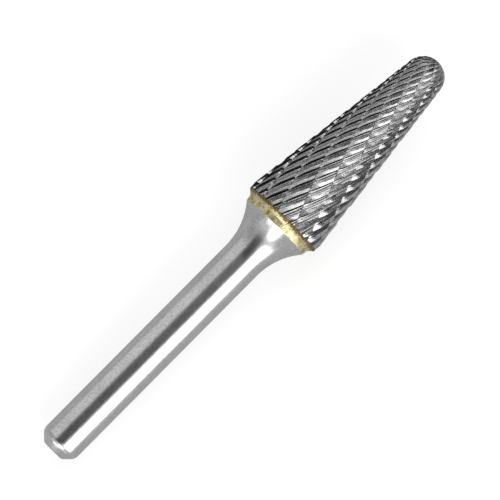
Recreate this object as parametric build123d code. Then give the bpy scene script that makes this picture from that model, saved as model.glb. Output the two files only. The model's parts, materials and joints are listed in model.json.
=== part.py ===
from build123d import *
from math import acosh, asin, asinh, atan2, cos, cosh, degrees, exp, floor, log
from math import pi, radians, sin, tan, tanh
import os

# A rotary carbide burr: a ball-nosed cone with a double cut, brazed on a turned steel shank.
# It lies as it comes to rest, on the end of its shank and the rim of its head, axis along +X.
# Lengths are in millimetres and angles in degrees.

# Steel shank
SHANK_DIAMETER = 6.0
SHANK_LENGTH = 43.15  # from the driven end to the shoulder that carries the head
SHOULDER_DIAMETER = 10.7
FLARE_RADIUS = 10.0  # concave arc from the shank out to the shoulder
END_FLAT_DIAMETER = 3.3
END_CHAMFER_LENGTH = 1.3
END_ROUNDING = 1.5  # of the heel, between the bevel and the cylinder

# Brazing alloy between the shoulder and the head
BRAZE_LENGTH = 1.5
BRAZE_COLLAR_LENGTH = 0.8
BRAZE_COLLAR_SPREAD = 0.13  # growth in radius over the collar

# Carbide head
HEAD_LENGTH = 30.8
HEAD_DIAMETER = 12.7  # over the tooth crests at the rim
HEAD_TAPER = 14.0  # included angle
BASE_BEVEL_WIDTH = 0.15  # from the edge of the base out to the rim
BASE_BEVEL_LENGTH = 0.5

# Double cut, with every size in proportion to the local radius of the head
FLUTES = 24
FLUTE_HELIX = 23.9  # right-hand
BREAKERS = 12
BREAKER_HELIX = 22.3  # left-hand
BREAKER_PHASE = 15.3  # where a chip breaker crosses the rim, from the line where flutes start
CUT_DEPTH = 0.42  # of both cuts, at the rim
RAKE_SHARE = 0.36  # of a flute's pitch, from the crest down to the root
LAND_SHARE = 0.08  # of a flute's pitch, flat crest behind the cutting edge
RAMP_SHARE = 0.38  # of a breaker's pitch, from its bottom up to the next tooth
WALL_SHARE = 0.05  # of a breaker's pitch, steep end of the tooth before it
PLAIN_TIP_RADIUS = 0.8  # the teeth run out near this radius on the nose

LYING_ROLL = 11.1  # turn about its own axis at which it settles on the teeth of the rim

# Places along the axis, from the driven end
BASE_Z = SHANK_LENGTH + BRAZE_LENGTH
RIM_Z = BASE_Z + BASE_BEVEL_LENGTH
TIP_Z = BASE_Z + HEAD_LENGTH

SHANK_R = SHANK_DIAMETER / 2
END_FLAT_R = END_FLAT_DIAMETER / 2
SHOULDER_R = SHOULDER_DIAMETER / 2
RIM_R = HEAD_DIAMETER / 2
BASE_R = RIM_R - BASE_BEVEL_WIDTH
SLOPE = radians(HEAD_TAPER / 2)
END_BEVEL = atan2(SHANK_R - END_FLAT_R, END_CHAMFER_LENGTH)  # slope of the bevelled end
HEEL_Z = END_CHAMFER_LENGTH + END_ROUNDING * tan(END_BEVEL / 2)  # where the easing meets the side

# The nose ball is tangent to the cone and touches the tip.
NOSE_R = (RIM_R - (TIP_Z - RIM_Z) * tan(SLOPE)) / (cos(SLOPE) - (1 - sin(SLOPE)) * tan(SLOPE))
NOSE_Z = TIP_Z - NOSE_R
TANGENT_R = NOSE_R * cos(SLOPE)
TANGENT_Z = NOSE_Z + NOSE_R * sin(SLOPE)

# Travel counts path length over local radius, so equal steps keep the teeth in proportion.
CONE_TRAVEL = log(RIM_R / TANGENT_R) / sin(SLOPE)
NOSE_START = asinh(tan(SLOPE))
FLUTE_PITCH = 2 * pi / FLUTES
BREAKER_PITCH = 2 * pi / BREAKERS
FLUTE_TWIST = tan(radians(FLUTE_HELIX))
BREAKER_TWIST = tan(radians(BREAKER_HELIX))
FLUTE_PHASE = (1 - LAND_SHARE) / 2  # flutes start with the middle of a groove


def turned(*edges):
    """Solid turned about Z from edges that run in the XZ plane from the axis back to it."""
    start, end = edges[0] @ 0, edges[-1] @ 1
    outline = Wire([*edges, Edge.make_line(end, start)])
    return revolve(make_face(outline), Axis.Z, 360)


def shank_piece():
    """Steel shank: bevelled driven end with an eased heel, cylinder and flared neck."""
    rise = SHOULDER_R - SHANK_R
    flare_angle = atan2((FLARE_RADIUS**2 - (FLARE_RADIUS - rise)**2)**0.5, FLARE_RADIUS - rise)
    flare_z = SHANK_LENGTH - FLARE_RADIUS * sin(flare_angle)
    middle = (
        SHANK_R + FLARE_RADIUS * (1 - cos(flare_angle / 2)),
        0,
        flare_z + FLARE_RADIUS * sin(flare_angle / 2),
    )
    # Easing in two short cuts, whose corners lie on an arc that touches the bevel and the side.
    heel = [
        (
            SHANK_R - END_ROUNDING * (1 - cos(turn)),
            0,
            HEEL_Z - END_ROUNDING * sin(turn),
        )
        for turn in (END_BEVEL, END_BEVEL / 2, 0)
    ]
    foot = (SHANK_R, 0, flare_z)
    shoulder = (SHOULDER_R, 0, SHANK_LENGTH)
    return turned(
        Edge.make_line((0, 0, 0), (END_FLAT_R, 0, 0)),
        Edge.make_line((END_FLAT_R, 0, 0), heel[0]),
        Edge.make_line(heel[0], heel[1]),
        Edge.make_line(heel[1], heel[2]),
        Edge.make_line(heel[2], foot),
        Edge.make_three_point_arc(foot, middle, shoulder),
        Edge.make_line(shoulder, (0, 0, SHANK_LENGTH)),
    )


def on_head(travel, turn, depth):
    """Point at a travel from the rim towards the tip, turned about the axis, below the crests."""
    if travel < CONE_TRAVEL:
        radius = RIM_R * exp(-travel * sin(SLOPE))
        height = RIM_Z + (RIM_R - radius) / tan(SLOPE)
        tilt = SLOPE
    else:
        latitude = travel - CONE_TRAVEL + NOSE_START
        radius = NOSE_R / cosh(latitude)
        height = NOSE_Z + NOSE_R * tanh(latitude)
        tilt = asin(tanh(latitude))
    sink = depth * radius / RIM_R
    reach = radius - sink * cos(tilt)
    return Vector(reach * cos(turn), reach * sin(turn), height - sink * sin(tilt))


def on_lattice(flute, breaker, depth):
    """Point where a flute line crosses a breaker line, both counted in pitches."""
    flute_turn = (flute - FLUTE_PHASE) * FLUTE_PITCH
    breaker_turn = breaker * BREAKER_PITCH + radians(BREAKER_PHASE)
    travel = (breaker_turn - flute_turn) / (FLUTE_TWIST + BREAKER_TWIST)
    return on_head(travel, flute_turn + FLUTE_TWIST * travel, depth)


def last_breaker(flute, travel):
    """Number of the last whole breaker line before a travel, along one flute."""
    flute_turn = (flute - FLUTE_PHASE) * FLUTE_PITCH
    turn = flute_turn + (FLUTE_TWIST + BREAKER_TWIST) * travel - radians(BREAKER_PHASE)
    return floor(turn / BREAKER_PITCH)


def toothed_form():
    """Solid bounded by the double cut, one lattice cell for each tooth, closed to the axis."""
    # Each line of the lattice is a share of its pitch and how far it lies below the crests.
    flute_lines = [(0, 0), (RAKE_SHARE, CUT_DEPTH), (1 - LAND_SHARE, 0)]
    breaker_lines = [(0, CUT_DEPTH), (RAMP_SHARE, 0), (1 - WALL_SHARE, 0)]
    low_travel = -(RIM_Z - SHANK_LENGTH + BRAZE_LENGTH) / RIM_R
    tip_travel = CONE_TRAVEL - NOSE_START + acosh(NOSE_R / PLAIN_TIP_RADIUS)
    n, m = len(flute_lines), len(breaker_lines)

    def corner(i, j):
        flute, (flute_share, flute_depth) = i // n, flute_lines[i % n]
        breaker, (breaker_share, breaker_depth) = j // m, breaker_lines[j % m]
        depth = max(flute_depth, breaker_depth)
        return on_lattice(flute + flute_share, breaker + breaker_share, depth)

    skin = []
    for flute in range(FLUTES):
        first = last_breaker(flute, low_travel)
        last = last_breaker(flute, tip_travel)
        for i in range(flute * n, flute * n + n):
            for j in range(first * m, last * m):
                a, b, c, d = corner(i, j), corner(i + 1, j), corner(i + 1, j + 1), corner(i, j + 1)
                # The crease between the two cuts runs along one diagonal of the patch.
                if (i % n == 0) == (j % m == 0):
                    skin += [(a, b, d), (b, c, d)]
                else:
                    skin += [(a, b, c), (a, c, d)]
        # Fans close the stepped ends of the lattice to the axis.
        for row, centre in ((first, Vector(0, 0, 0)), (last, Vector(0, 0, TIP_Z))):
            rim = [corner(i, row * m) for i in range(flute * n, flute * n + n + 1)]
            step = last_breaker(flute + 1, low_travel if row == first else tip_travel) - row
            side = [corner(flute * n + n, row * m + k) for k in range(step * m + 1)]
            for path in (rim, side):
                skin += [(centre, p, q) for p, q in zip(path, path[1:])]
    faces = [Face(Wire.make_polygon(triangle, close=True)) for triangle in skin]
    return Solid(Shell(faces))


def braze_piece():
    """Brazing alloy: short collar and flared fillet up to the edge of the head's base."""
    collar_z = SHANK_LENGTH + BRAZE_COLLAR_LENGTH
    foot = (SHOULDER_R, 0, SHANK_LENGTH)
    collar = (SHOULDER_R + BRAZE_COLLAR_SPREAD, 0, collar_z)
    lip = (BASE_R, 0, BASE_Z)
    return turned(
        Edge.make_line((0, 0, SHANK_LENGTH), foot),
        Edge.make_line(foot, collar),
        Edge.make_line(collar, lip),
        Edge.make_line(lip, (0, 0, BASE_Z)),
    )


def head_piece():
    """Carbide head: the ground teeth above a flat base with a bevelled edge."""
    length = 2 * HEAD_LENGTH
    far_r = BASE_R + BASE_BEVEL_WIDTH / BASE_BEVEL_LENGTH * length
    room = Cone(BASE_R, far_r, length, align=(Align.CENTER, Align.CENTER, Align.MIN))
    return toothed_form() & Pos(0, 0, BASE_Z) * room


def rest_tilt(head):
    """Rise of the axis when the burr lies on its heel and on the teeth below the axis."""
    return max(atan2(corner.X - SHANK_R, corner.Z - HEEL_Z) for corner in head.vertices())


def laid_down(pieces):
    """The pieces as they rest: axis along +X, centred over the origin, lowest point on Z = 0."""
    rolled = [Rot(0, 0, LYING_ROLL) * piece for piece in pieces]
    tilt = rest_tilt(rolled[-1])
    tilted = [Rot(0, 90 - degrees(tilt), 0) * piece for piece in rolled]
    box = Compound(tilted).bounding_box()
    return [Pos(-box.center().X, 0, -box.min.Z) * piece for piece in tilted]


shank, braze_joint, cutting_head = laid_down([shank_piece(), braze_piece(), head_piece()])

os.makedirs("parts", exist_ok=True)
export_step(shank, "parts/shank.step")
export_step(braze_joint, "parts/braze_joint.step")
export_step(cutting_head, "parts/cutting_head.step")
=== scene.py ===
import json
from math import acos, acosh, asinh, atan2, cos, log, pi, radians, sin, tan

import bmesh
import bpy
import numpy as np
from mathutils import Matrix, Vector


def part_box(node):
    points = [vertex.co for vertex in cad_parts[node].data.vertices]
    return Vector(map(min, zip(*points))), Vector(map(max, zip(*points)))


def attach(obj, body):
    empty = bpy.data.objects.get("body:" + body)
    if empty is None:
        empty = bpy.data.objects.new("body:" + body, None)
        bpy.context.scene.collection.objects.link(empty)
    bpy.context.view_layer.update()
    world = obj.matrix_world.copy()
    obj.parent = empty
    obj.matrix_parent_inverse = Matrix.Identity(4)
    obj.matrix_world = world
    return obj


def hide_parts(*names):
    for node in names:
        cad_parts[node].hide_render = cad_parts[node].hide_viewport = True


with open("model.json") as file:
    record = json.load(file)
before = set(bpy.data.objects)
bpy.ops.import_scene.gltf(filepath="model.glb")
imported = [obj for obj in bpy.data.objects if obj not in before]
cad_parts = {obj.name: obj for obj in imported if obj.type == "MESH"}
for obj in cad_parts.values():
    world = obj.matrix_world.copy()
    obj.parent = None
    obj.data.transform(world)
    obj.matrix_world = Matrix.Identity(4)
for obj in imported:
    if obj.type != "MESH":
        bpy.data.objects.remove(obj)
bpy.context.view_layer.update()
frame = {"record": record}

MM = 0.001

# Sizes of the burr are in millimetres and angles in degrees. Z runs along its axis from the driven end.

# Steel shank
SHANK_R = 3.0
SHANK_LENGTH = 43.15  # up to the shoulder that carries the head
SHOULDER_R = 5.35
SHOULDER_EASE = 0.06  # of the shoulder's sharp edge
FLARE_RADIUS = 10.0
END_FLAT_R = 1.65
END_CHAMFER_LENGTH = 1.3
END_INNER_ROUNDING = 0.45  # between the flat and the bevel
END_ROUNDING = 1.5  # of the heel, between the bevel and the cylinder
END_CREASE_Z = 1.08  # of a turned crease on the rounding of the heel
END_CREASE = 0.045  # depth of the crease, and half its width
SHANK_SEGMENTS = 192

# Brazing alloy
BRAZE_LENGTH = 1.5
BRAZE_COLLAR_LENGTH = 0.8
BRAZE_COLLAR_SPREAD = 0.13  # growth in radius over the collar
BRAZE_HOLLOW = 0.06  # of the fillet between the collar and the base of the head
BRAZE_RIPPLE = 0.022  # of its surface
BRAZE_FINE_RIPPLE = 0.008
LIP_MEAN = 0.16  # how far the alloy creeps up the head
LIP_SWING = 0.11
LIP_RANGE = (0.02, 0.5)
LIP_FILM = 0.012  # thickness of the alloy at the top of the lip
LIP_SWELL = 0.03  # extra thickness lower down
LIP_TUCK = 0.05  # how deep the edge of the lip dips into the head
FILLET_PROUD = 0.02  # most that the fillet stands over the head where they meet
INNER_CAP = 0.01  # from the base of the head to where the ring is closed inside it
EVEN_EDGE = 1 / 6  # share of the ring's length over which its ripples grow from each edge
BRAZE_SEGMENTS = 720
BRAZE_ROWS = 26

# Carbide head
HEAD_LENGTH = 30.8
HEAD_TAPER = 14.0  # included angle
RIM_R = 6.35  # over the tooth crests
BASE_BEVEL_WIDTH = 0.15
BASE_BEVEL_LENGTH = 0.5
LYING_ROLL = 11.1  # turn about its own axis at which the burr lies on the teeth of the rim

# Double cut. Shares count from one cut to the next one, and depths are shares of the full depth.
FLUTES = 24
FLUTE_HELIX = 23.9  # right-hand
FLUTE_PHASE = 0.42  # share of the flute that lies at turn 0 on the rim
BREAKERS = 12
BREAKER_HELIX = 22.3  # left-hand
BREAKER_PHASE = 15.3  # turn at which a chip breaker crosses the rim
CUT_DEPTH = 0.42  # full depth at the rim, smaller with the radius towards the tip
RAKE_SHARE = 0.03  # steep face from the cutting edge down to the root
BACK_RISE = 1.4  # slope of a tooth's smooth back, in full depths to a flute
# Where the ground floor of a gullet meets that back: share of the breaker, share of the flute
FLOOR_END = ((0.0, 0.42), (0.2, 0.43), (0.4, 0.58), (0.6, 0.66), (0.8, 0.76), (0.95, 0.89), (1.0, 0.89))
STRIAE = 3  # grinding ridges on the floor
STRIA_END = 0.78  # share of the flute at which their pattern ends
STRIA_DEPTH = 0.12
RAMP_SHARE = 0.41  # from the bottom of a chip breaker up to the next tooth
WALL_SHARE = 0.05  # steep end of the tooth before it
CUT_FADE_R = 0.45  # radius near the tip at which the cut has run out
CUT_FADE_WIDTH = 0.5  # over which it runs out
TIP_CAP_R = 0.42  # plain cap on the tip
CAP_UV = (0.8, 0.0)  # place on the smooth back of a tooth, whose finish the closed ends have
HEAD_START = -0.55  # travel from the rim at which the teeth start, behind the base
SPARE_R = 1.0  # least radius of the teeth behind the base, which are cut off

# Places along the axis
BASE_Z = SHANK_LENGTH + BRAZE_LENGTH
RIM_Z = BASE_Z + BASE_BEVEL_LENGTH
TIP_Z = BASE_Z + HEAD_LENGTH
BASE_R = RIM_R - BASE_BEVEL_WIDTH
SLOPE = radians(HEAD_TAPER / 2)

# The nose ball is tangent to the cone and touches the tip.
NOSE_R = (RIM_R - (TIP_Z - RIM_Z) * tan(SLOPE)) / (cos(SLOPE) - (1 - sin(SLOPE)) * tan(SLOPE))
NOSE_Z = TIP_Z - NOSE_R

# Travel is the way along the head's surface over its radius, summed from the rim, so that a helix
# turns evenly with it.
CONE_TRAVEL = log(RIM_R / (NOSE_R * cos(SLOPE))) / sin(SLOPE)
NOSE_START = asinh(tan(SLOPE))
HEAD_END = CONE_TRAVEL - NOSE_START + acosh(NOSE_R / TIP_CAP_R)
FLUTE_PITCH = 2 * pi / FLUTES
BREAKER_PITCH = 2 * pi / BREAKERS
FLUTE_TWIST = tan(radians(FLUTE_HELIX))
BREAKER_TWIST = tan(radians(BREAKER_HELIX))


# ---------------------------------------------------------------- the burr's place in the frame

def burr_axes():
    """Matrix from the burr's own axes, in mm with Z along it, to the frame in metres."""
    mount = frame["record"]["mounts"][0]
    along = -Vector(mount["axis"]).normalized()
    side = Vector((0, 1, 0))
    down = side.cross(along)
    point = Vector(mount["pos_m"])
    end_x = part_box("shank")[0][0] + END_FLAT_R * MM * along.z
    end = point + along * ((end_x - point.x) / along.x)
    turn = Matrix((down, side, along)).transposed().to_4x4()
    roll = Matrix.Rotation(radians(LYING_ROLL), 4, "Z")
    return Matrix.Translation(end) @ turn @ roll @ Matrix.Scale(MM, 4)


BURR = burr_axes()
BURR_AXIS = (BURR.to_3x3() @ Vector((0, 0, 1))).normalized()


def on_axis(z):
    """Point on the burr's axis, in the frame."""
    return BURR @ Vector((0, 0, z))


def place(points):
    """Points in the burr's own axes, as an array of rows, moved to the frame."""
    matrix = np.array(BURR)
    return points @ matrix[:3, :3].T + matrix[:3, 3]


def new_object(name, vertices, faces, uvs, node):
    """Mesh object that rides on the root body in the place of a node."""
    mesh = bpy.data.meshes.new(name)
    mesh.from_pydata(place(vertices).tolist(), [], faces)
    layer = mesh.uv_layers.new(name="UVMap")
    corners = np.empty(len(mesh.loops), dtype=np.int32)
    mesh.loops.foreach_get("vertex_index", corners)
    layer.data.foreach_set("uv", uvs[corners].astype(np.float32).ravel())
    obj = bpy.data.objects.new(name, mesh)
    bpy.context.scene.collection.objects.link(obj)
    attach(obj, "root")
    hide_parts(node)
    return obj


def smooth(obj, angle):
    """Smooth shading, with edges sharper than the angle kept crisp."""
    mesh = obj.data
    mesh.polygons.foreach_set("use_smooth", [True] * len(mesh.polygons))
    mesh.set_sharp_from_angle(angle=radians(angle))
    mesh.update()


# ---------------------------------------------------------------- turned forms

UV_LENGTH = 10.0  # mm along the axis to one unit of V


def turned(z, r, turn, first_z, last_z):
    """Vertices, faces and UVs of rings with a row each in z and r, closed to the axis at both ends."""
    rings, segments = z.shape
    body = np.stack([r * np.cos(turn), r * np.sin(turn), z], axis=-1).reshape(-1, 3)
    vertices = np.vstack([body, [[0, 0, first_z], [0, 0, last_z]]])
    uvs = np.stack([np.broadcast_to(turn / (2 * pi), z.shape), z / UV_LENGTH], axis=-1).reshape(-1, 2)
    uvs = np.vstack([uvs, [[0, first_z / UV_LENGTH], [0, last_z / UV_LENGTH]]])
    faces = []
    for ring in range(0, (rings - 1) * segments, segments):
        for k in range(segments):
            a, b = ring + k, ring + (k + 1) % segments
            faces.append((a, b, b + segments, a + segments))
    first, last = len(body), len(body) + 1
    top = (rings - 1) * segments
    for k in range(segments):
        n = (k + 1) % segments
        faces.append((first, n, k))
        faces.append((last, top + k, top + n))
    return vertices, faces, uvs


def arc(centre, radius, start, end, count):
    """Points (z, r) on an arc, angles measured from +z towards +r."""
    angles = np.linspace(start, end, count)
    return [(centre[0] + radius * cos(a), centre[1] + radius * sin(a)) for a in angles]


def shank_profile():
    """Outline (z, r) of the steel shank from the flat of the driven end to the shoulder."""
    bevel = atan2(SHANK_R - END_FLAT_R, END_CHAMFER_LENGTH)
    cut = END_INNER_ROUNDING * tan((pi / 2 - bevel) / 2)
    corner = (END_INNER_ROUNDING, END_FLAT_R - cut)
    heel = (END_CHAMFER_LENGTH + END_ROUNDING * tan(bevel / 2), SHANK_R - END_ROUNDING)
    crease = acos((END_CREASE_Z - heel[0]) / END_ROUNDING)
    crease_side = END_CREASE / END_ROUNDING
    flare = acos(1 - (SHOULDER_R - SHANK_R) / FLARE_RADIUS)
    flare_z = SHANK_LENGTH - FLARE_RADIUS * sin(flare)
    flare_centre = (flare_z, SHANK_R + FLARE_RADIUS)

    profile = [(0.0, corner[1] * 0.6)]  # a ring on the flat itself
    profile += arc(corner, END_INNER_ROUNDING, pi, pi / 2 + bevel, 7)
    profile += arc(heel, END_ROUNDING, pi / 2 + bevel, crease + crease_side, 4)
    profile += arc(heel, END_ROUNDING - END_CREASE, crease, crease, 1)
    profile += arc(heel, END_ROUNDING, crease - crease_side, pi / 2, 11)
    profile += [(z, SHANK_R) for z in np.linspace(heel[0], flare_z, 12)[1:-1]]
    profile += arc(flare_centre, FLARE_RADIUS, -pi / 2, -pi / 2 + flare, 40)[:-1]
    profile += [(SHANK_LENGTH - SHOULDER_EASE, SHOULDER_R - SHOULDER_EASE * 0.7)]
    profile += [(SHANK_LENGTH, SHOULDER_R - SHOULDER_EASE * 0.2), (SHANK_LENGTH, SHOULDER_R * 0.5)]
    return profile


def make_shank():
    turn = np.arange(SHANK_SEGMENTS) * 2 * pi / SHANK_SEGMENTS
    z, r = (np.outer(column, np.ones(SHANK_SEGMENTS)) for column in np.array(shank_profile()).T)
    vertices, faces, uvs = turned(z, r, turn, 0, SHANK_LENGTH)
    obj = new_object("steel_shank", vertices, faces, uvs, "shank")
    smooth(obj, 35)
    return obj


# ---------------------------------------------------------------- the double cut

def flute_depth(share, breaker):
    """Depth below the crests, from 0 to 1, across one flute: steep rake, ground floor and back."""
    rake = np.clip(share / RAKE_SHARE, 0, 1)
    back = BACK_RISE * (1 - share)
    floor_end = np.interp(breaker, *zip(*FLOOR_END))
    floor_rise = (1 - BACK_RISE * (1 - floor_end)) / (floor_end - RAKE_SHARE)
    floor = 1 - floor_rise * (share - RAKE_SHARE)
    along = np.clip((share - RAKE_SHARE) / (STRIA_END - RAKE_SHARE), 0, 1)
    striae = STRIA_DEPTH * np.cos(2 * pi * STRIAE * along) * (along < 1)
    return np.where(share < RAKE_SHARE, rake, np.minimum(floor + striae, back))


def breaker_depth(share):
    """Depth from 0 to 1 across one chip breaker: ramp, tooth and steep wall."""
    ramp_up = np.clip(share / RAMP_SHARE, 0, 1)
    wall = np.clip((share - 1 + WALL_SHARE) / WALL_SHARE, 0, 1)
    return np.maximum(1 - ramp_up, wall)


def cut_depth(flute, breaker, radius):
    """Depth of the double cut in mm, at a number of flutes and breakers and a radius."""
    share = np.maximum(flute_depth(flute % 1, breaker % 1), breaker_depth(breaker % 1))
    return share * CUT_DEPTH * radius / RIM_R


def crest(travel):
    """Radius, height and tilt of the surface over the crests, at a travel from the rim."""
    on_cone = travel < CONE_TRAVEL
    cone_r = RIM_R * np.exp(-travel * sin(SLOPE))
    cone_z = RIM_Z + (RIM_R - cone_r) / tan(SLOPE)
    latitude = np.maximum(travel - CONE_TRAVEL + NOSE_START, 0)
    radius = np.where(on_cone, cone_r, NOSE_R / np.cosh(latitude))
    height = np.where(on_cone, cone_z, NOSE_Z + NOSE_R * np.tanh(latitude))
    tilt = np.where(on_cone, SLOPE, np.arcsin(np.tanh(latitude)))
    return radius, height, tilt


def base_bevel(z):
    """Radius of the bevel at the base of the head, carried on past both its ends."""
    return BASE_R + (z - BASE_Z) * BASE_BEVEL_WIDTH / BASE_BEVEL_LENGTH


def toothed_points(travel, turn, flute, breaker):
    """Points on the toothed surface, in rows of x, y and z."""
    radius, height, tilt = crest(travel)
    fade = np.clip((radius - CUT_FADE_R) / CUT_FADE_WIDTH, 0, 1)
    sink = cut_depth(flute, breaker, radius) * fade
    height = height - sink * np.sin(tilt)
    reach = np.minimum(radius - sink * np.cos(tilt), np.maximum(base_bevel(height), SPARE_R))
    return np.stack([reach * np.cos(turn), reach * np.sin(turn), height], axis=-1)


def head_mesh():
    """Vertices, faces and UVs of the teeth, on a lattice that follows both cuts.

    Its columns run along the flutes and its rows along the chip breakers, so that the teeth keep
    crisp edges. The UVs count flutes and breakers.
    """
    flute_lines = np.concatenate([
        np.linspace(0, RAKE_SHARE, 2, endpoint=False),
        np.linspace(RAKE_SHARE, STRIA_END, STRIAE * 4, endpoint=False),
        np.linspace(STRIA_END, 1, 3, endpoint=False),
    ])
    breaker_lines = np.concatenate([
        np.linspace(0, RAMP_SHARE, 5, endpoint=False),
        np.linspace(RAMP_SHARE, 1 - WALL_SHARE, 5),
    ])
    n, m = len(flute_lines), len(breaker_lines)
    columns = np.arange(FLUTES * n)
    flute = columns // n + flute_lines[columns % n]
    flute_turn = (flute - FLUTE_PHASE) * FLUTE_PITCH
    edge_turn = (columns // n - FLUTE_PHASE) * FLUTE_PITCH
    crossing = FLUTE_TWIST + BREAKER_TWIST

    def breaker_row(travel):
        """Row of the last whole breaker before a travel, for each column."""
        turn = edge_turn + crossing * travel - radians(BREAKER_PHASE)
        return np.floor(turn / BREAKER_PITCH).astype(int) * m

    first, last = breaker_row(HEAD_START), breaker_row(HEAD_END)
    turn_rows = BREAKERS * m
    lowest = first.min() - turn_rows
    index = -np.ones((len(columns) + 1, last.max() - lowest + 2), dtype=np.int64)
    points, uvs, count = [], [], 0
    for i in columns:
        rows = np.arange(first[i], last[i] + 1)
        breaker = rows // m + breaker_lines[rows % m]
        travel = (breaker * BREAKER_PITCH + radians(BREAKER_PHASE) - flute_turn[i]) / crossing
        turn = flute_turn[i] + FLUTE_TWIST * travel
        points.append(toothed_points(travel, turn, flute[i], breaker))
        uvs.append(np.stack([np.full(len(rows), flute[i]), breaker], axis=-1))
        index[i, rows - lowest] = count + np.arange(len(rows))
        count += len(rows)
    # The last column is the first one, a whole turn on.
    index[-1, turn_rows:] = index[0, :-turn_rows]
    corners = np.stack([index[:-1, :-1], index[1:, :-1], index[1:, 1:], index[:-1, 1:]], axis=-1)
    quads = corners[(corners >= 0).all(axis=-1)]
    return np.vstack(points), quads.tolist(), np.vstack(uvs)


def close_head(obj):
    """Cuts the head flat at its base and closes the base and the tip to the axis."""
    mesh = obj.data
    bm = bmesh.new()
    bm.from_mesh(mesh)
    everything = bm.verts[:] + bm.edges[:] + bm.faces[:]
    bmesh.ops.bisect_plane(
        bm, geom=everything, plane_co=on_axis(BASE_Z), plane_no=BURR_AXIS, clear_inner=True, dist=1e-7
    )
    tip = bm.verts.new(on_axis(TIP_Z))
    centre = bm.verts.new(on_axis(BASE_Z))
    middle = on_axis((BASE_Z + TIP_Z) / 2)
    layer = bm.loops.layers.uv.active
    for edge in [e for e in bm.edges if e.is_boundary]:
        beyond = (edge.verts[0].co - middle).dot(BURR_AXIS) > 0
        loop = edge.link_loops[0]
        face = bm.faces.new((loop.link_loop_next.vert, loop.vert, tip if beyond else centre))
        for corner in face.loops:
            corner[layer].uv = CAP_UV
    bm.to_mesh(mesh)
    bm.free()


def make_head():
    vertices, faces, uvs = head_mesh()
    obj = new_object("carbide_head", vertices, faces, uvs, "cutting_head")
    close_head(obj)
    smooth(obj, 24)
    return obj


# ---------------------------------------------------------------- brazing alloy

def head_radius(z, turn):
    """Radius of the head near its base, with its teeth and bevel, at places and turns."""
    radius = RIM_R + (RIM_Z - z) * tan(SLOPE)
    travel = np.log(RIM_R / radius) / sin(SLOPE)
    flute = (turn - FLUTE_TWIST * travel) / FLUTE_PITCH + FLUTE_PHASE
    breaker = (turn + BREAKER_TWIST * travel - radians(BREAKER_PHASE)) / BREAKER_PITCH
    return np.minimum(radius - cut_depth(flute, breaker, crest(travel)[0]), base_bevel(z))


def make_braze():
    """Collar and hollow fillet of brazing alloy, with an uneven lip that creeps onto the head."""
    turn = np.arange(BRAZE_SEGMENTS) * 2 * pi / BRAZE_SEGMENTS
    rng = np.random.RandomState(11)

    def ripple(waves, size, z=0.0):
        """Waves round the axis, by their counts to a turn, that lean as they go along it."""
        total = np.zeros((1, BRAZE_SEGMENTS)) + 0 * np.asarray(z)
        for count in waves:
            phase, lean, weight = rng.uniform(0, 2 * pi), rng.uniform(-1, 1), rng.uniform(0.4, 1)
            total = total + weight * np.sin(count * turn + phase + 4 * lean * z)
        return size * total / len(waves) ** 0.5

    lip = np.clip(LIP_MEAN + ripple([3, 5, 8, 13, 19, 24, 31, 43], LIP_SWING), *LIP_RANGE)
    share = np.linspace(0, 1, BRAZE_ROWS)[:, None]
    z = SHANK_LENGTH + (BASE_Z + lip - SHANK_LENGTH) * share

    collar_z = SHANK_LENGTH + BRAZE_COLLAR_LENGTH
    collar = SHOULDER_R + BRAZE_COLLAR_SPREAD * np.clip((z - SHANK_LENGTH) / BRAZE_COLLAR_LENGTH, 0, 1)
    rise = np.clip((z - collar_z) / (BASE_Z - collar_z), 0, None)
    fillet = (BASE_R - SHOULDER_R - BRAZE_COLLAR_SPREAD) * rise
    r = collar + fillet - BRAZE_HOLLOW * np.sin(pi * np.clip(rise, 0, 1))
    away = np.clip(np.minimum(share, 1 - share) / EVEN_EDGE, 0, 1)
    r = r + away * ripple([7, 11, 16, 23, 29, 37], BRAZE_RIPPLE, z)
    r = r + away * ripple([51, 67, 83, 101], BRAZE_FINE_RIPPLE, z)

    head = head_radius(z, np.broadcast_to(turn, z.shape))
    r = np.where(z > BASE_Z, head + LIP_SWELL * (1 - share) + LIP_FILM, np.minimum(r, head + FILLET_PROUD))
    r[-1] = head[-1] - LIP_TUCK
    vertices, faces, uvs = turned(z, r, turn, SHANK_LENGTH, BASE_Z + INNER_CAP)
    obj = new_object("braze_ring", vertices, faces, uvs, "braze_joint")
    smooth(obj, 60)
    return obj


# ---------------------------------------------------------------- nodes

def feed(socket, value):
    """Links an input to an output, or sets its constant."""
    if isinstance(value, bpy.types.NodeSocket):
        socket.id_data.links.new(value, socket)
    else:
        socket.default_value = value


def add(tree, kind, *values, **settings):
    """Node with its settings and inputs by name, and further inputs by their order."""
    node = tree.nodes.new(kind)
    for name, value in settings.items():
        if name in node.inputs:
            feed(node.inputs[name], value)
        else:
            setattr(node, name, value)
    for socket, value in zip(node.inputs, values):
        feed(socket, value)
    return node


def maths(tree, operation, *values):
    """Result of an operation on outputs and numbers."""
    return add(tree, "ShaderNodeMath", *values, operation=operation).outputs[0]


def dot(tree, vector, axis):
    """How far a vector reaches along an axis."""
    return add(tree, "ShaderNodeVectorMath", vector, axis, operation="DOT_PRODUCT").outputs["Value"]


def noise(tree, vector, scale, detail, roughness=0.5):
    """Noise from 0 to 1, with as many cells to a unit as its scale."""
    node = add(tree, "ShaderNodeTexNoise", Vector=vector, Scale=scale, Detail=detail, Roughness=roughness)
    return node.outputs["Fac"]


def mix(tree, blend, factor, a, b):
    """Colour b blended over colour a by a factor."""
    node = add(tree, "ShaderNodeMix", data_type="RGBA", blend_type=blend, Factor=factor, A=a, B=b)
    return node.outputs["Result"]


def step(tree, value, start, end):
    """Smooth step from 0 to 1 as the value goes from start to end."""
    node = add(tree, "ShaderNodeMapRange", value, start, end, interpolation_type="SMOOTHSTEP")
    return node.outputs[0]


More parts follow.
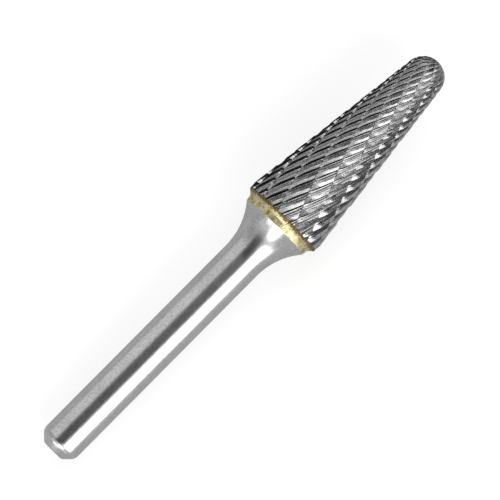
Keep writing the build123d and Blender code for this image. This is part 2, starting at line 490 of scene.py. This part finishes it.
def ramp(tree, value, *stops):
    """Colour ramp on a value, with stops (position, grey or colour)."""
    node = add(tree, "ShaderNodeValToRGB", Fac=value)
    elements = node.color_ramp.elements
    while len(elements) < len(stops):
        elements.new(0.5)
    for element, (position, colour) in zip(elements, stops):
        element.position = position
        element.color = (colour, colour, colour, 1) if isinstance(colour, float) else (*colour, 1)
    return node.outputs["Color"]


def bump(tree, height, strength, distance, **below):
    """Normal raised by a height in a layer of a thickness in metres, over another one if given."""
    node = add(tree, "ShaderNodeBump", Height=height, Strength=strength, Distance=distance, **below)
    return node.outputs["Normal"]


# ---------------------------------------------------------------- materials

BROWNED_WIDTH = 0.3  # of the brazing alloy beside the carbide, mm
BROWNED_WANDER = 1.2  # swing of its edge over the whole range of the noise, mm
BROWNED_BLUR = 0.06  # half the width of that edge, mm


def material(name):
    """New material, its node tree and its Principled shader."""
    mat = bpy.data.materials.new(name)
    mat.use_nodes = True
    return mat, mat.node_tree, mat.node_tree.nodes["Principled BSDF"]


def finish_metal(shader, colour, roughness, normal):
    """Makes the shader a bare metal with these outputs."""
    feed(shader.inputs["Base Color"], colour)
    feed(shader.inputs["Roughness"], roughness)
    feed(shader.inputs["Normal"], normal)
    shader.inputs["Metallic"].default_value = 1


def steel():
    """Bright steel with fine grinding lines round the shank, pits and a cloudy tone."""
    mat, tree, shader = material("ground_steel")
    uv = add(tree, "ShaderNodeUVMap", uv_map="UVMap").outputs["UV"]
    spot = add(tree, "ShaderNodeTexCoord").outputs["Object"]
    rings = add(tree, "ShaderNodeMapping", Vector=uv, Scale=(3, 90, 1)).outputs["Vector"]
    lines = noise(tree, rings, 4.0, 6.0, 0.7)
    grain = noise(tree, spot, 3500.0, 3.0, 0.7)
    cloud = noise(tree, spot, 350.0, 3.0)
    tone = ramp(tree, cloud, (0.3, (0.57, 0.57, 0.575)), (0.7, (0.65, 0.65, 0.65)))
    speckled = mix(tree, "MULTIPLY", 1, tone, ramp(tree, grain, (0.35, 0.86), (0.65, 1.12)))
    roughness = ramp(tree, lines, (0.25, 0.17), (0.75, 0.27))
    ground = bump(tree, lines, 0.1, 0.00002)
    finish_metal(shader, speckled, roughness, bump(tree, grain, 0.25, 0.00002, Normal=ground))
    return mat


def carbide():
    """Ground tungsten carbide, bright on the crests and backs, with painted shade down in the gullets."""
    mat, tree, shader = material("ground_carbide")
    uv = add(tree, "ShaderNodeUVMap", uv_map="UVMap").outputs["UV"]
    spot = add(tree, "ShaderNodeTexCoord").outputs["Object"]
    along_flutes = add(tree, "ShaderNodeMapping", Vector=uv, Scale=(14, 0.9, 1)).outputs["Vector"]
    grain = noise(tree, spot, 6000.0, 2.0)
    ground = maths(tree, "MULTIPLY", noise(tree, along_flutes, 1.6, 4.0, 0.6), grain)
    dark, middle, bright = (0.28, 0.28, 0.282), (0.52, 0.52, 0.522), (0.72, 0.72, 0.72)
    tone = ramp(tree, ground, (0.14, dark), (0.26, middle), (0.38, bright))

    # Shares of the flute and of the breaker, as the shape of the teeth counts them
    counts = add(tree, "ShaderNodeSeparateXYZ", Vector=uv).outputs
    flute = maths(tree, "FRACT", counts["X"])
    breaker = maths(tree, "FRACT", counts["Y"])

    # Painted shade in the hollows between the grinding ridges, with the ridges painted a little lighter,
    # up to the smooth back
    ridges = STRIAE / (STRIA_END - RAKE_SHARE)
    wave = maths(tree, "MULTIPLY_ADD", counts["X"], ridges, -RAKE_SHARE * ridges)
    ridge_hollow_shade = ramp(tree, maths(tree, "PINGPONG", wave, 0.5), (0.1, 0.42), (0.4, 1.15))
    # The tone carries that painted shade of the ridges over the front of the flute
    shade_striped_tone = mix(tree, "MULTIPLY", ramp(tree, flute, (0.48, 1.0), (0.7, 0.0)), tone, ridge_hollow_shade)

    # Painted shade on the rake face and root
    root_shade = ramp(tree, flute, (RAKE_SHARE, 0.22), (RAKE_SHARE + 0.01, 0.5), (0.34, 1.0))
    shaded = mix(tree, "MULTIPLY", 1, shade_striped_tone, root_shade)

    # Painted shade on the floor of the gullet, between the ramp and the wall of the chip breakers
    across_floor_shade = ramp(tree, flute, (0.24, 0.0), (0.4, 1.0), (0.58, 1.0), (0.74, 0.0))
    along_floor_shade = ramp(tree, breaker, (0.08, 0.0), (0.25, 1.0), (0.85, 1.0), (0.97, 0.0))
    floor = maths(tree, "MULTIPLY", across_floor_shade, along_floor_shade)
    # The floor mask multiplies the colour by 0.54 there, as painted shade
    colour = mix(tree, "MULTIPLY", floor, shaded, (0.54, 0.54, 0.54, 1))

    roughness = ramp(tree, grain, (0.3, 0.2), (0.7, 0.34))
    finish_metal(shader, colour, roughness, bump(tree, ground, 0.5, 0.00006))
    return mat


def braze():
    """Brazing alloy, pale gold with olive patches, browned where it meets the carbide."""
    mat, tree, shader = material("brazing_alloy")
    spot = add(tree, "ShaderNodeTexCoord").outputs["Object"]
    patches = noise(tree, spot, 1100.0, 3.0, 0.6)
    fine = noise(tree, spot, 4000.0, 3.0, 0.6)
    gold = ramp(
        tree, patches,
        (0.32, (0.3, 0.26, 0.1)), (0.42, (0.52, 0.47, 0.2)),
        (0.52, (0.7, 0.62, 0.38)), (0.62, (0.78, 0.66, 0.5)), (0.7, (0.5, 0.33, 0.2)),
    )
    brown = ramp(tree, patches, (0.4, (0.16, 0.15, 0.04)), (0.6, (0.22, 0.12, 0.07)))
    wandering = maths(tree, "MULTIPLY_ADD", fine, BROWNED_WANDER * MM, dot(tree, spot, BURR_AXIS))
    edge = BURR_AXIS.dot(on_axis(BASE_Z - BROWNED_WIDTH)) + BROWNED_WANDER / 2 * MM
    browned = step(tree, wandering, edge - BROWNED_BLUR * MM, edge + BROWNED_BLUR * MM)
    colour = mix(tree, "MIX", browned, gold, brown)
    roughness = ramp(tree, fine, (0.3, 0.3), (0.7, 0.5))
    finish_metal(shader, colour, roughness, bump(tree, fine, 0.7, 0.0001))
    return mat


# ---------------------------------------------------------------- camera

CAMERA_TURN = 178.4  # side of the burr that the camera faces, about the burr's axis
CAMERA_LEAN = 3.85  # how far it stands from square-on towards the driven end
AXIS_ANGLE = 45.2  # of the burr in the picture, above the horizontal
DISTANCE = 0.40  # m
SENSOR_WIDTH = 36.0  # mm
PICTURE_WIDTH = 0.0688  # of the plane through the burr, m
PICTURE_CENTRE = 38.56  # along the burr's axis, mm
PICTURE_SHIFT = -0.18  # of the centre across it, mm


def facing_side():
    """Unit vector square to the burr's axis on the camera's side."""
    angle = radians(CAMERA_TURN)
    return (BURR.to_3x3() @ Vector((cos(angle), sin(angle), 0))).normalized()


def view_axes():
    """Unit vectors towards the camera, and along and across the burr in the picture's plane."""
    lean = radians(CAMERA_LEAN)
    towards = (facing_side() * cos(lean) - BURR_AXIS * sin(lean)).normalized()
    along = (BURR_AXIS - towards * BURR_AXIS.dot(towards)).normalized()
    return towards, along, along.cross(towards).normalized()


def make_camera():
    towards, along, across = view_axes()
    c, s = cos(radians(AXIS_ANGLE)), sin(radians(AXIS_ANGLE))
    right = along * c + across * s
    up = along * s - across * c
    target = on_axis(PICTURE_CENTRE) + across * PICTURE_SHIFT * MM
    data = bpy.data.cameras.new("camera")
    data.sensor_width = SENSOR_WIDTH
    data.lens = SENSOR_WIDTH * DISTANCE / PICTURE_WIDTH
    data.clip_start = 0.01
    camera = bpy.data.objects.new("camera", data)
    turn = Matrix((right, up, towards)).transposed().to_4x4()
    camera.matrix_world = Matrix.Translation(target + towards * DISTANCE) @ turn
    bpy.context.scene.collection.objects.link(camera)
    bpy.context.scene.camera = camera


# ---------------------------------------------------------------- lamps and floor

LAMP_DISTANCE = 0.7  # from the middle of the picture, m
FLOOR_HALF = 3.0  # half the side of the floor, m
FLOOR_GREY = 0.4
FLOOR_GLOW_SEEN = 0.68  # emission to the camera
FLOOR_GLOW_MIRRORED = 0.15  # emission to the metal


def softbox(name, angle, lean, size, radiance):
    """Rectangular lamp, at an angle from the camera across the burr and a lean along it.

    Its size is in metres, along the burr first.
    """
    towards, along, across = view_axes()
    a, b = radians(angle), radians(lean)
    z = ((towards * cos(a) + across * sin(a)) * cos(b) + along * sin(b)).normalized()
    x = (along - z * along.dot(z)).normalized()
    data = bpy.data.lights.new(name, "AREA")
    data.shape = "RECTANGLE"
    data.size, data.size_y = size
    data.energy = radiance * pi * size[0] * size[1]
    lamp = bpy.data.objects.new(name, data)
    turn = Matrix((x, z.cross(x), z)).transposed().to_4x4()
    lamp.matrix_world = Matrix.Translation(on_axis(PICTURE_CENTRE) + z * LAMP_DISTANCE) @ turn
    bpy.context.scene.collection.objects.link(lamp)


def make_floor():
    """Pale floor that the camera sees near white, with the burr's shadow kept."""
    signs = ((-1, -1), (1, -1), (1, 1), (-1, 1))
    mesh = bpy.data.meshes.new("floor")
    mesh.from_pydata([(x * FLOOR_HALF, y * FLOOR_HALF, 0) for x, y in signs], [], [(0, 1, 2, 3)])
    obj = bpy.data.objects.new("floor", mesh)
    bpy.context.scene.collection.objects.link(obj)
    mat, tree, shader = material("floor")
    rays = add(tree, "ShaderNodeLightPath").outputs
    mirrored = maths(tree, "MULTIPLY", rays["Is Glossy Ray"], FLOOR_GLOW_MIRRORED)
    glow = maths(tree, "MULTIPLY_ADD", rays["Is Camera Ray"], FLOOR_GLOW_SEEN, mirrored)
    shader.inputs["Base Color"].default_value = (FLOOR_GREY, FLOOR_GREY, FLOOR_GREY, 1)
    shader.inputs["Roughness"].default_value = 0.8
    shader.inputs["Specular IOR Level"].default_value = 0.0
    shader.inputs["Emission Color"].default_value = (1, 1, 1, 1)
    feed(shader.inputs["Emission Strength"], glow)
    mesh.materials.append(mat)


# ---------------------------------------------------------------- world

# Grey of the studio round the burr, in stops (degrees from the camera's side, grey). Each zone is
# pale but for one dark gap, which gives the metal its dark band.
STUDIO = (
    (-180, 0.6), (-97, 0.7), (-90, 0.76), (-38, 0.76),
    (-26, 0.06), (14, 0.06), (26, 0.9), (74, 0.9), (88, 0.45),
)
SHANK_SIDE = ((-180, 0.4), (-38, 0.4), (-30, 0.08), (2, 0.08), (22, 0.8), (62, 0.8), (80, 0.4))
TIP_SIDE = (
    (-180, 0.5), (-97, 0.5), (-70, 1.0), (2, 1.0),
    (16, 0.08), (76, 0.08), (92, 0.4), (120, 0.5),
)
DRIVEN_END_GREY = (0.8, 0.8, 0.8, 1)
HORIZON_GREY = (0.5, 0.5, 0.5, 1)
WHITE = (1, 1, 1, 1)


def make_world():
    """Studio as a grey by direction, in zones round and along the burr, and white to the camera."""
    world = bpy.data.worlds.new("studio")
    world.use_nodes = True
    tree = world.node_tree
    ray = add(tree, "ShaderNodeTexCoord").outputs["Generated"]
    towards, along, across = view_axes()
    turn = maths(tree, "ARCTAN2", dot(tree, ray, across), dot(tree, ray, facing_side()))
    share = add(tree, "ShaderNodeMapRange", turn, -pi, pi).outputs[0]
    lean = dot(tree, ray, along)

    def zones(stops):
        return ramp(tree, share, *(((angle + 180) / 360, grey) for angle, grey in stops))

    def fade(value, start, end, before, after):
        return mix(tree, "MIX", step(tree, value, start, end), before, after)

    sky = fade(lean, -0.45, -0.15, zones(SHANK_SIDE), zones(STUDIO))
    sky = fade(lean, -0.85, -0.5, DRIVEN_END_GREY, sky)
    sky = fade(lean, 0.15, 0.35, sky, zones(TIP_SIDE))
    sky = fade(dot(tree, ray, (0, 0, 1)), 0.1, 0.3, HORIZON_GREY, sky)
    seen = add(tree, "ShaderNodeLightPath").outputs["Is Camera Ray"]
    feed(tree.nodes["Background"].inputs["Color"], mix(tree, "MIX", seen, sky, WHITE))
    bpy.context.scene.world = world


# ---------------------------------------------------------------- assembly

for make_piece, make_material in ((make_shank, steel), (make_braze, braze), (make_head, carbide)):
    piece = make_piece()
    piece.data.materials.clear()
    piece.data.materials.append(make_material())

make_camera()
make_floor()
make_world()
softbox("key_softbox", angle=50, lean=-8, size=(0.6, 0.66), radiance=2.4)
softbox("top_softbox", angle=-28, lean=38, size=(0.4, 0.4), radiance=1.8)
softbox("end_softbox", angle=22, lean=-58, size=(0.3, 0.3), radiance=3.2)
softbox("low_softbox", angle=25, lean=-82, size=(0.16, 0.6), radiance=4.0)

bpy.context.scene.view_settings.view_transform = "Standard"
